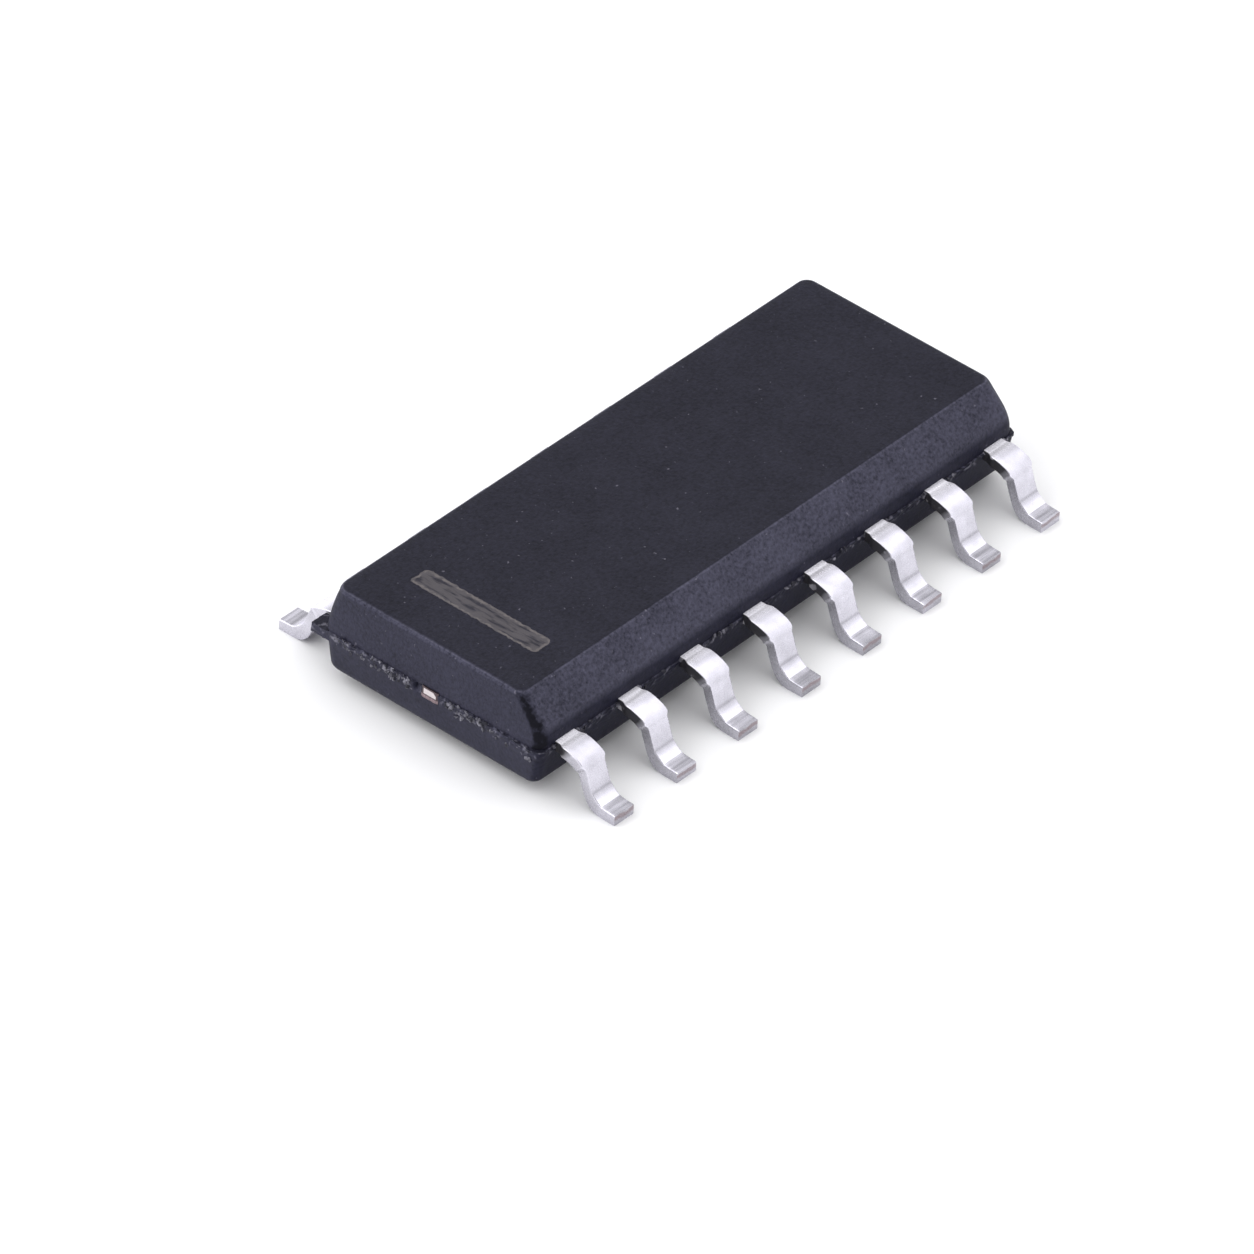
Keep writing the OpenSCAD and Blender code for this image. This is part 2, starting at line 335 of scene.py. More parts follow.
def ring_plan(along, across, corner):
    """Where each point of a ring lies: (share of the length, share of the width, normal x, normal y)."""
    plan = []
    sides = (((-1, 1), (0, 0), along), ((1, 1), (0, 1), across),
             ((1, -1), (1, 1), along), ((-1, -1), (1, 0), across))
    for index, (xs, ys, count) in enumerate(sides):
        face = math.radians(90 * index - 90)
        for k in range(count + 1):
            x, y = (first + (last - first) * (k / count) for first, last in (xs, ys))
            plan.append((x, y, math.cos(face), math.sin(face)))
        for k in range(1, corner):
            a = face + math.pi / 2 * k / corner
            plan.append((xs[1], ys[1], math.cos(a), math.sin(a)))
    return np.array(plan)


def tear(x, y, z, ragged, left):
    """Outward shift of the torn rim at the seam, deeper at the left end."""
    patch = span(grit(x, y, 3.1, 0.55), -0.2, 0.35)
    lumps = grit(x, y, z * 1.3, 0.15) * 0.6 + grit(x + 7, y, z * 1.4, 0.06) * 0.5
    depth = 0.055 if left else 0.034
    return ragged * depth * (lumps * (0.3 + 0.7 * patch) + 0.15 * patch)


def body_mesh(body):
    """The moulded body as one skin of rings."""
    along, across, corner = 384, 140, 10
    plan = ring_plan(along, across, corner)
    count = len(plan)
    fx, gy, nx, ny = plan.T
    rows = []
    aside, across_by = body.shift[0] / MM, body.shift[1] / MM
    for z, (left_end, right_end), near, far, corners, ragged in body_levels(body):
        near_round, *far_rounds = corners
        far_round = np.where(fx > 0, *far_rounds)
        radius = np.where(gy < 0.5, near_round, far_round)
        x = fx * ((left_end + right_end) / 2 - radius) + radius * nx + aside + (right_end - left_end) / 2
        y = (1 - gy) * (near_round - near) + gy * (far - far_round) + radius * ny + across_by
        row = np.column_stack([x, y, np.full(count, z)])
        if ragged:
            for i in range(count):
                left = nx[i] < -0.5
                out = tear(x[i], y[i], z, ragged, left)
                if left:
                    # Pocket beside the cut tie bar
                    out *= 1 - span(y[i], -0.16, -0.12) * span(y[i], 0.22, 0.19)
                    out -= ragged * 0.06 * span(y[i], 0.2, 0.225) * span(y[i], 0.34, 0.3)
                row[i, 0] += nx[i] * out
                row[i, 1] += ny[i] * out
                row[i, 2] += ragged * 0.012 * grit(x[i], y[i], 9.3, 0.06)
        rows.append(row)
    points = np.concatenate(rows)
    faces = []
    for level in range(len(rows) - 1):
        start = level * count
        for i in range(count):
            j = (i + 1) % count
            faces.append((start + i, start + j, start + count + j, start + count + i))
    far_start = along + across + 2 * corner
    for start, down in ((0, True), ((len(rows) - 1) * count, False)):
        caps = [(i, i + 1, far_start + along - i - 1, far_start + along - i) for i in range(along)]
        caps.append(tuple(range(along, far_start + 1)))
        caps.append(tuple(range(far_start + along, count)) + (0,))
        for cap in caps:
            cap = tuple(start + i for i in cap)
            faces.append(cap[::-1] if down else cap)
    mesh = bpy.data.meshes.new("moulded_body")
    mesh.from_pydata(points.tolist(), [], faces)
    return mesh


def ragged_block(bm, low, high, cuts, rough, seed):
    """Adds a block of compound with a broken surface, lumps of 0.06 and 0.025 mm."""
    noise.seed_set(int(seed))
    low, high = Vector(low), Vector(high)
    block = bmesh.new()
    place = Matrix.Translation((low + high) / 2) @ Matrix.Diagonal((*(high - low), 1))
    bmesh.ops.create_cube(block, size=1, matrix=place)
    bmesh.ops.subdivide_edges(block, edges=block.edges[:], cuts=cuts, use_grid_fill=True)
    for v in block.verts:
        coarse = noise.noise_vector(v.co * (1 / 0.06) + Vector((seed, 0, 0)))
        fine = noise.noise_vector(v.co * (1 / 0.025) + Vector((0, seed, 0)))
        v.co += (coarse + fine * 0.4) * rough
    mesh = bpy.data.meshes.new("block")
    block.to_mesh(mesh)
    block.free()
    bm.from_mesh(mesh)
    bpy.data.meshes.remove(mesh)


class CHIP_OT_moulded_body(bpy.types.Operator):
    """Moulds the epoxy body with its bevel, torn seam and corner flash"""
    bl_idname = "chip.moulded_body"
    bl_label = "Moulded body"

    def execute(self, context):
        body = context.scene.chip_body
        mesh = body_mesh(body)
        bm = bmesh.new()
        bm.from_mesh(mesh)
        # Corner flash beside the last lead, and the nub at the far end of the pin 1 side
        flash = (-4.965, 1.75, 0.64), (-4.62, 2.19, 0.785)
        nub = (4.7, -1.90, 0.74), (4.89, -1.75, 0.815)
        ragged_block(bm, *flash, cuts=9, rough=0.01, seed=2.0)
        ragged_block(bm, *nub, cuts=7, rough=0.008, seed=5.0)
        bm.to_mesh(mesh)
        bm.free()
        shade(mesh, 38)
        piece = new_piece("moulded_body", mesh)
        mesh.materials.append(moulded_epoxy(body))
        settle(piece, "mould_compound", "body")
        return {"FINISHED"}


def moulded_epoxy(body):
    """Silica-filled black epoxy, moulded in a spark-eroded tool: matte bluish charcoal with a fine sandy
    grain and pale filler specks, the walls painted a bluer tint. The bevel and the rounded edges were
    eroded coarser, and painted light set by face orientation makes them gleam more than the walls; two
    corners carry painted shade. One laser-etched bar is greyer, with a bright outline and streaks along it."""
    material, node, place = new_material("moulded_epoxy")
    height = node("SeparateXYZ", [place]).outputs[2]
    normal = node("NewGeometry").outputs["Normal"]
    out_x, out_y, up = node("SeparateXYZ", [normal]).outputs
    facing = node("VectorMath", [normal], "ABSOLUTE")
    end_on, side_on, _ = node("SeparateXYZ", [facing]).outputs
    # The tool's grain is about 0.03 mm; it is drawn at 0.05 mm so that it shows
    grain = node("TexNoise", {"Vector": place, "Scale": per_mm(0.05), "Detail": 3.0, "Roughness": 0.65})
    cloud = node("TexNoise", {"Vector": place, "Scale": per_mm(0.8), "Detail": 3.0})
    filler = node("TexNoise", {"Vector": place, "Scale": per_mm(0.085)})
    specks = node("MapRange", [filler, 0.71, 0.78])
    tone = node("Math", [cloud, 0.3, grain], "MULTIPLY_ADD")
    tone = node("MapRange", [tone, 0.4, 0.9, 0.55, 1.45])
    # Painted light: the walls are tinted bluer than the top, for the bluish light they reflect
    level = node("MapRange", [up, 0.93, 0.99])
    base = node("Mix", {0: level, 6: body.painted_wall_tint, 7: body.epoxy}, data_type="RGBA")
    base = node("VectorMath", {0: base, "Scale": tone}, "SCALE")
    base = node("Mix", {0: specks, 6: base, 7: linear("#54525C")}, data_type="RGBA")
    # Painted sheen, set by face orientation for how the light falls: top and side walls least, end walls
    # more, bevel and rounded edges most
    wall = node("MapRange", [side_on, 0.2, 0.6, 0.46, 0.2])
    slant = node("MapRange", [end_on, 0.2, 0.5, 0.78, 0.64])
    risen = node("MapRange", [up, 0.25, 0.5])
    painted_sheen = node("Mix", {0: risen, 2: wall, 3: slant})
    painted_sheen = node("Mix", {0: level, 2: painted_sheen, 3: 0.175})
    # Painted shade darkens the corner at pin 1 and the one across from it, with a ragged edge
    corner = node("Math", [out_x, out_y], "MULTIPLY")
    ragged = node("MapRange", [filler, 0.35, 0.65, 0.6, 1.4])
    corner = node("Math", [corner, ragged], "MULTIPLY")
    corner = node("MapRange", [corner, 0.08, 0.36])
    upper = node("MapRange", [height, body.parting, body.parting + 0.02 * MM])
    corner = node("Math", [corner, upper], "MULTIPLY")
    # There the corners lose their gleam and take a darker colour, as painted shade
    painted_sheen = node("Mix", {0: corner, 2: painted_sheen, 3: 0.05})
    base = node("Mix", {0: corner, 6: base, 7: linear("#16161B")}, data_type="RGBA")
    # Painted highlight: the edge above the bevel is brightened in short lengths
    painted_edge_glint = node("TexNoise", {"Vector": place, "Scale": per_mm(0.11)})
    painted_edge_glint = node("MapRange", [painted_edge_glint, 0.38, 0.62, 0.1, 0.9])
    arris = node("MapRange", [up, 0.77, 0.84])
    crest = node("MapRange", [up, 0.995, 0.96])
    arris = node("Math", [arris, crest], "MULTIPLY")
    painted_edge_glint = node("Math", [arris, painted_edge_glint], "MULTIPLY")
    painted_sheen = node("Math", [painted_edge_glint, 0.3, painted_sheen], "MULTIPLY_ADD")
    # The grain shows most on the bevel and the rounded edges
    level = node("MapRange", [level, 0, 1, 1.0, 0.0])
    coarse = node("Math", [risen, level], "MULTIPLY")
    contrast = node("MapRange", [coarse, 0, 1, 0.8, 1.5])
    mottle = node("Math", [tone, 1.0], "SUBTRACT")
    mottle = node("Math", [mottle, contrast, 1.0], "MULTIPLY_ADD")
    painted_sheen = node("Math", [painted_sheen, mottle], "MULTIPLY")
    # Etched bar: distance to a rounded rectangle on the top face, with a slightly uneven edge
    centre, half = (-3.905 * MM, 0.12 * MM, 0), (0.115 * MM, 1.055 * MM, 1)
    radius = 0.065 * MM
    off = node("VectorMath", [place, centre], "SUBTRACT")
    off = node("VectorMath", [off], "ABSOLUTE")
    off = node("VectorMath", [off, half], "SUBTRACT")
    off = node("VectorMath", [off, (-1, -1, 0)], "MAXIMUM")
    off_x, off_y, _ = node("SeparateXYZ", [off]).outputs
    deep = node("Math", [off_x, off_y], "MAXIMUM")
    deep = node("Math", [deep, 0.0], "MINIMUM")
    off = node("VectorMath", [off, (0, 0, 0)], "MAXIMUM")
    reach = node("VectorMath", [off], "LENGTH")
    reach = node("Math", [reach, deep], "ADD")
    waver = node("MapRange", [filler, 0.3, 0.7, -0.014 * MM, 0.014 * MM])
    reach = node("Math", [reach, waver], "ADD")
    inside = node("MapRange", [reach, radius + 0.006 * MM, radius - 0.006 * MM])
    rim = node("MapRange", [reach, radius - 0.045 * MM, radius - 0.025 * MM])
    on_top = node("MapRange", [height, body.top - 0.012 * MM, body.top - 0.006 * MM])
    inside = node("Math", [inside, on_top], "MULTIPLY")
    drawn = node("Mapping", {"Vector": place, "Scale": (per_mm(0.07), per_mm(0.35), 1)})
    streak = node("TexNoise", {"Vector": drawn, "Scale": 1.0})
    scan = node("MapRange", [streak, 0.35, 0.52, 0.2, 1.0])
    filled = node("Math", [rim, scan], "MAXIMUM")
    burn = node("Math", [inside, filled], "MULTIPLY")
    base = node("Mix", {0: burn, 6: base, 7: body.etched}, data_type="RGBA")
    patchy = node("MapRange", [filler, 0.38, 0.58, 0.15, 1.0])
    rim = node("Math", [rim, inside], "MULTIPLY")
    rim = node("Math", [rim, patchy], "MULTIPLY")
    base = node("Mix", {0: rim, 6: base, 7: linear("#605B5A")}, data_type="RGBA")
    # Torn compound at the seam is paler where it broke
    below = node("MapRange", [height, body.parting - 0.14 * MM, body.parting - 0.07 * MM])
    above = node("MapRange", [height, body.parting + 0.008 * MM, body.parting - 0.004 * MM])
    torn = node("TexNoise", {"Vector": place, "Scale": per_mm(0.1)})
    torn = node("MapRange", [torn, 0.54, 0.7, 0, 0.5])
    torn = node("Math", [torn, below], "MULTIPLY")
    torn = node("Math", [torn, above], "MULTIPLY")
    base = node("Mix", {0: torn, 6: base, 7: body.broken}, data_type="RGBA")
    rough = node("MapRange", [grain, 0.3, 0.7, 0.5, 0.66])
    depth = node("MapRange", [coarse, 0, 1, 0.45, 1.0])
    bump = node("Bump", {"Strength": depth, "Distance": 0.015 * MM, "Height": grain})
    # Painted reflection: the reflections are tinted bluish, for the bluish light they would show
    bluish = (0.745, 0.735, 1.0)
    finish_material(node, {"Base Color": base, "Roughness": rough, "Normal": bump, "IOR": 1.52,
                           "Specular IOR Level": painted_sheen, "Specular Tint": bluish})
    return material


def chip_points(body, leads):
    """Where crumbs of broken compound may cling to the seam: (x, y, z, chance)."""
    rng = np.random.default_rng(16)
    length, width, seam = body.half_length / MM, body.half_width / MM, body.parting / MM
    aside, across_by = body.shift[0] / MM, body.shift[1] / MM
    pitch = leads.pitch / MM
    row = [(i - (leads.per_side - 1) / 2) * pitch for i in range(leads.per_side)]
    sunk = 0.012
    places = []
    for side in (-1, 1):
        for x in rng.uniform(-length + 0.2, length - 0.2, 360):
            # More beside a lead, none under it
            gap = min(abs(abs(x - lead) - 0.2) for lead in row)
            under = min(abs(x - lead) for lead in row) < 0.185
            patch = span(grit(x, side, 4.3, 0.6), -0.1, 0.35)
            chance = 0.0 if under else 0.1 + 0.3 * patch + 0.5 * span(gap, 0.06, 0.0)
            z = seam - abs(rng.normal(0, 0.03)) + 0.004
            places.append((x, side * (width - sunk) + across_by, z, chance))
    for end in (-1, 1):
        for y in rng.uniform(-width + 0.2, width - 0.2, 300):
            chance = 0.15 + 0.75 * span(grit(end * 3, y, 1.7, 0.5), -0.15, 0.4)
            # None on the tie bar or in the pocket beside it
            if -0.2 < y < 0.36:
                chance = 0
            z = seam - rng.triangular(0.006, 0.006, 0.19)
            places.append((end * (length - sunk) + aside, y, z, chance))
    return places


class CHIP_OT_seam_crumbs(bpy.types.Operator):
    """Scatters crumbs of broken compound along the seam between the mould halves"""
    bl_idname = "chip.seam_crumbs"
    bl_label = "Seam crumbs"

    def execute(self, context):
        body, leads = context.scene.chip_body, context.scene.chip_leads
        places = chip_points(body, leads)
        mesh = bpy.data.meshes.new("seam_crumbs")
        mesh.from_pydata([p[:3] for p in places], [], [])
        chances = mesh.attributes.new("chance", "FLOAT", "POINT")
        chances.data.foreach_set("value", [p[3] for p in places])
        piece = new_piece("seam_crumbs", mesh)
        values = {"Crumb Size": 0.046 * MM, "Seed": 4, "Finish": broken_epoxy(body)}
        run_tree(piece, crumb_tree(), values)
        piece.data.shade_flat()
        settle(piece, "mould_compound")
        return {"FINISHED"}


def crumb_tree():
    """Puts a broken lump at a share of the points, each turned and sized at random."""
    inputs = (("Crumb Size", "Float"), ("Seed", "Int"), ("Finish", "Material"))
    tree, node, group = new_tree("seam crumbs", inputs)
    seed = group.outputs["Seed"]
    points = node("GeometryNodeMeshToPoints", {"Mesh": group.outputs["Geometry"]})
    draw = node("FunctionNodeRandomValue", {2: 0.0, 3: 1.0, "Seed": seed}, data_type="FLOAT")
    chance = node("GeometryNodeInputNamedAttribute", {"Name": "chance"}, data_type="FLOAT")
    kept = node("FunctionNodeCompare", [draw, chance], "LESS_THAN")
    lump = node("GeometryNodeMeshIcoSphere", {"Radius": group.outputs["Crumb Size"], "Subdivisions": 1})
    full_turn, shift = (6.283,) * 3, 0.01 * MM
    turn = node("FunctionNodeRandomValue", {0: (0, 0, 0), 1: full_turn, "Seed": seed},
                data_type="FLOAT_VECTOR")
    size = node("FunctionNodeRandomValue", {0: (0.3, 0.3, 0.3), 1: (1.3, 1.0, 0.9), "Seed": seed},
                data_type="FLOAT_VECTOR")
    placed = node("GeometryNodeInstanceOnPoints", {"Points": points, "Selection": kept, "Instance": lump,
                                                   "Rotation": turn, "Scale": size})
    solid = node("GeometryNodeRealizeInstances", [placed])
    jolt = node("FunctionNodeRandomValue", {0: (-shift,) * 3, 1: (shift,) * 3, "Seed": seed},
                data_type="FLOAT_VECTOR")
    uneven = node("GeometryNodeSetPosition", {"Geometry": solid, "Offset": jolt})
    done = node("GeometryNodeSetMaterial", {"Geometry": uneven, "Material": group.outputs["Finish"]})
    node("NodeGroupOutput", [done])
    return tree


def broken_epoxy(body):
    """Freshly broken compound: the silica filler shows, so it is pale and dull, uneven over each crumb."""
    material, node, place = new_material("broken_epoxy")
    patch = node("TexNoise", {"Vector": place, "Scale": per_mm(0.11)})
    pale = node("MapRange", [patch, 0.4, 0.78])
    # The darker part of a crumb takes the walls' colour, with its painted bluish tint
    base = node("Mix", {0: pale, 6: body.painted_wall_tint, 7: body.broken}, data_type="RGBA")
    finish_material(node, {"Base Color": base, "Roughness": 0.7})
    return material


# Section of a formed lead, out from the body: upper and lower surface as (y, z) pairs, in three runs
# that meet in creases: exit, shoulder and leg; the short heel facet; the flat foot
LEAD_RUNS = (
    (((FINGER_END, 0.835), (FINGER_END, 0.665)), ((1.90, 0.842), (1.894, 0.670)),
     ((1.98, 0.840), (1.968, 0.668)), ((2.08, 0.833), (2.062, 0.664)), ((2.17, 0.819), (2.135, 0.652)),
     ((2.25, 0.797), (2.190, 0.637)), ((2.335, 0.765), (2.243, 0.618)), ((2.405, 0.718), (2.287, 0.590)),
     ((2.452, 0.648), (2.318, 0.543)), ((2.490, 0.558), (2.344, 0.472)), ((2.525, 0.462), (2.371, 0.393)),
     ((2.556, 0.384), (2.400, 0.318)), ((2.584, 0.320), (2.428, 0.246))),
    (((2.584, 0.320), (2.428, 0.246)), ((2.635, 0.268), (2.476, 0.150)), ((2.692, 0.222), (2.542, 0.070)),
     ((2.748, 0.187), (2.612, 0.028))),
    (((2.748, 0.187), (2.612, 0.028)), ((2.80, 0.179), (2.69, 0.007)), ((2.87, 0.173), (2.78, 0.0)),
     ((2.99, 0.166), (2.99, 0.0))),
)


def through(keys, per_step):
    """Points on a smooth curve through keys."""
    keys = np.asarray(keys, float)
    padded = np.vstack([2 * keys[0] - keys[1], keys, 2 * keys[-1] - keys[-2]])
    points = []
    for i in range(len(keys) - 1):
        a, b, c, d = padded[i:i + 4]
        for t in np.arange(per_step) / per_step:
            points.append(0.5 * (2 * b + (c - a) * t + (2 * a - 5 * b + 4 * c - d) * t ** 2
                                 + (3 * b - a - 3 * c + d) * t ** 3))
    points.append(keys[-1])
    return points


def strip_outline(half, thick):
    """Outline of the strip's section as (x, share of the thickness), its upper edges rolled over further
    than the lower ones."""
    roll, burr = 0.02, 0.012
    turns = np.radians(np.linspace(0, 90, 7))
    right = [(half - burr + burr * math.sin(a), (burr - burr * math.cos(a)) / thick) for a in turns[::2]]
    right += [(half, 0.33), (half, 0.66)]
    right += [(half - roll + roll * math.cos(a), 1 - (roll - roll * math.sin(a)) / thick) for a in turns]
    across = [(x, 1) for x in np.linspace(half - roll, roll - half, 8)[1:-1]]
    left = [(-x, s) for x, s in reversed(right)]
    under = [(x, 0) for x in np.linspace(burr - half, half - burr, 6)[1:-1]]
    return right + across + left + under


def lead_mesh(leads):
    """One lead of the near side, standing at the middle of its row."""
    half = leads.width / MM / 2
    stations = []
    for index, run in enumerate(LEAD_RUNS):
        points = through([(*top, *under) for top, under in run], 6 if index == 0 else 5)
        stations += points if index == 0 else points[1:]
    outline = strip_outline(half, STRIP_THICK)
    points = []
    for top_y, top_z, low_y, low_z in stations:
        # Wider as far as the cut dam bar, and fine press marks across the root and the foot
        stub = 0.038 * span(top_y, 1.97, 2.08) * span(top_y, 2.46, 2.42)
        for x, share in outline:
            x += math.copysign(stub, x) * (abs(x) > half - 0.03)
            y = low_y + (top_y - low_y) * share
            z = low_z + (top_z - low_z) * share
            if share > 0.99:
                for mark, depth in ((2.0, 0.0015), (2.06, 0.001), (2.582, 0.006)):
                    z -= depth * math.exp(-((top_y - mark) / 0.012) ** 2)
            points.append((x, -y, z))
    size = len(outline)
    faces = []
    for s in range(len(stations) - 1):
        for k in range(size):
            j = (k + 1) % size
            faces.append((s * size + k, (s + 1) * size + k, (s + 1) * size + j, s * size + j))
    faces.append(tuple(range(size)))
    last = (len(stations) - 1) * size
    faces.append(tuple(range(last + size - 1, last - 1, -1)))
    mesh = bpy.data.meshes.new("gull_wing_leads")
    mesh.from_pydata(points, [], faces)
    bm = bmesh.new()
    bm.from_mesh(mesh)
    bmesh.ops.recalc_face_normals(bm, faces=bm.faces)
    bm.to_mesh(mesh)
    bm.free()
    shade(mesh, 17)
    return mesh


class CHIP_OT_gull_wing_leads(bpy.types.Operator):
    """Forms one gull-wing lead and repeats it along both long sides"""
    bl_idname = "chip.gull_wing_leads"
    bl_label = "Gull-wing leads"

    def execute(self, context):
        leads = context.scene.chip_leads
        piece = new_piece("gull_wing_leads", lead_mesh(leads))
        run_tree(piece, lead_tree(), {"Count": leads.per_side, "Pitch": leads.pitch, "Seed": 7,
                                      "Finish": matte_tin(leads)})
        settle(piece, "tinned_lead", *LEAD_NODES)
        fingers = new_piece("lead_fingers", cad_part(LEAD_NODES, 1, FINGER_END))
        fingers.data.materials.append(matte_tin(leads))
        settle(fingers, "tinned_lead")
        return {"FINISHED"}


def cad_part(nodes, axis, limit):
    """Copies of these solids, cut off limit millimetres from the middle along an axis and closed there."""
    bm = bmesh.new()
    for name in nodes:
        bm.from_mesh(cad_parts[name].data)
    bmesh.ops.scale(bm, vec=(1 / MM,) * 3, verts=bm.verts)
    bmesh.ops.remove_doubles(bm, verts=bm.verts, dist=1e-5)
    for side in (-1, 1):
        normal = [0, 0, 0]
        normal[axis] = side
        cut = bmesh.ops.bisect_plane(bm, geom=bm.verts[:] + bm.edges[:] + bm.faces[:], dist=1e-6,
                                     plane_co=[side * limit * abs(n) for n in normal], plane_no=normal,
                                     clear_outer=True)
        rims = [e for e in cut["geom_cut"] if isinstance(e, bmesh.types.BMEdge)]
        bmesh.ops.holes_fill(bm, edges=rims, sides=0)
    mesh = bpy.data.meshes.new("cut_solids")
    bm.to_mesh(mesh)
    bm.free()
    return mesh


def lead_tree():
    """Repeats the lead along the near side and turns that row round for the far side."""
    inputs = (("Count", "Int"), ("Pitch", "Float"), ("Seed", "Int"), ("Finish", "Material"))
    tree, node, group = new_tree("lead rows", inputs)
    count, pitch, seed = (group.outputs[name] for name in ("Count", "Pitch", "Seed"))
    gaps = node("Math", [count, 1.0], "SUBTRACT")
    reach = node("Math", [gaps, pitch], "MULTIPLY")
    start = node("Math", [reach, -0.5], "MULTIPLY")
    first = node("CombineXYZ", [start])
    step = node("CombineXYZ", [pitch])
    line = node("GeometryNodeMeshLine", {"Count": count, "Start Location": first, "Offset": step})
    lean = node("FunctionNodeRandomValue", {0: (0, 0, -0.008), 1: (0.0015, 0, 0.008), "Seed": seed},
                data_type="FLOAT_VECTOR")
    lead = group.outputs["Geometry"]
    near = node("GeometryNodeInstanceOnPoints", {"Points": line, "Instance": lead, "Rotation": lean})
    # The last lead of the far row stands out a little further than the others
    index = node("GeometryNodeInputIndex")
    last = node("Math", [index, gaps, 0.5], "COMPARE")
    splay = node("Math", [last, 0.022, 1.0], "MULTIPLY_ADD")
    splay = node("CombineXYZ", [1.0, splay, 1.0])
    far = node("GeometryNodeInstanceOnPoints", {"Points": line, "Instance": lead, "Rotation": lean,
                                                "Scale": splay})
    far = node("GeometryNodeTransform", {"Geometry": far, "Rotation": (0, 0, math.pi)})
    rows = node("GeometryNodeJoinGeometry")
    for row in (near, far):
        tree.links.new(row.outputs[0], rows.inputs[0])
    tone = node("FunctionNodeRandomValue", {2: 0.0, 3: 1.0, "Seed": seed}, data_type="FLOAT")
    toned = node("GeometryNodeStoreNamedAttribute", {"Geometry": rows, "Name": "lead_tone", "Value": tone},
                 data_type="FLOAT", domain="INSTANCE")
    solid = node("GeometryNodeRealizeInstances", [toned])
    done = node("GeometryNodeSetMaterial", {"Geometry": solid, "Material": group.outputs["Finish"]})
    node("NodeGroupOutput", [done])
    return tree


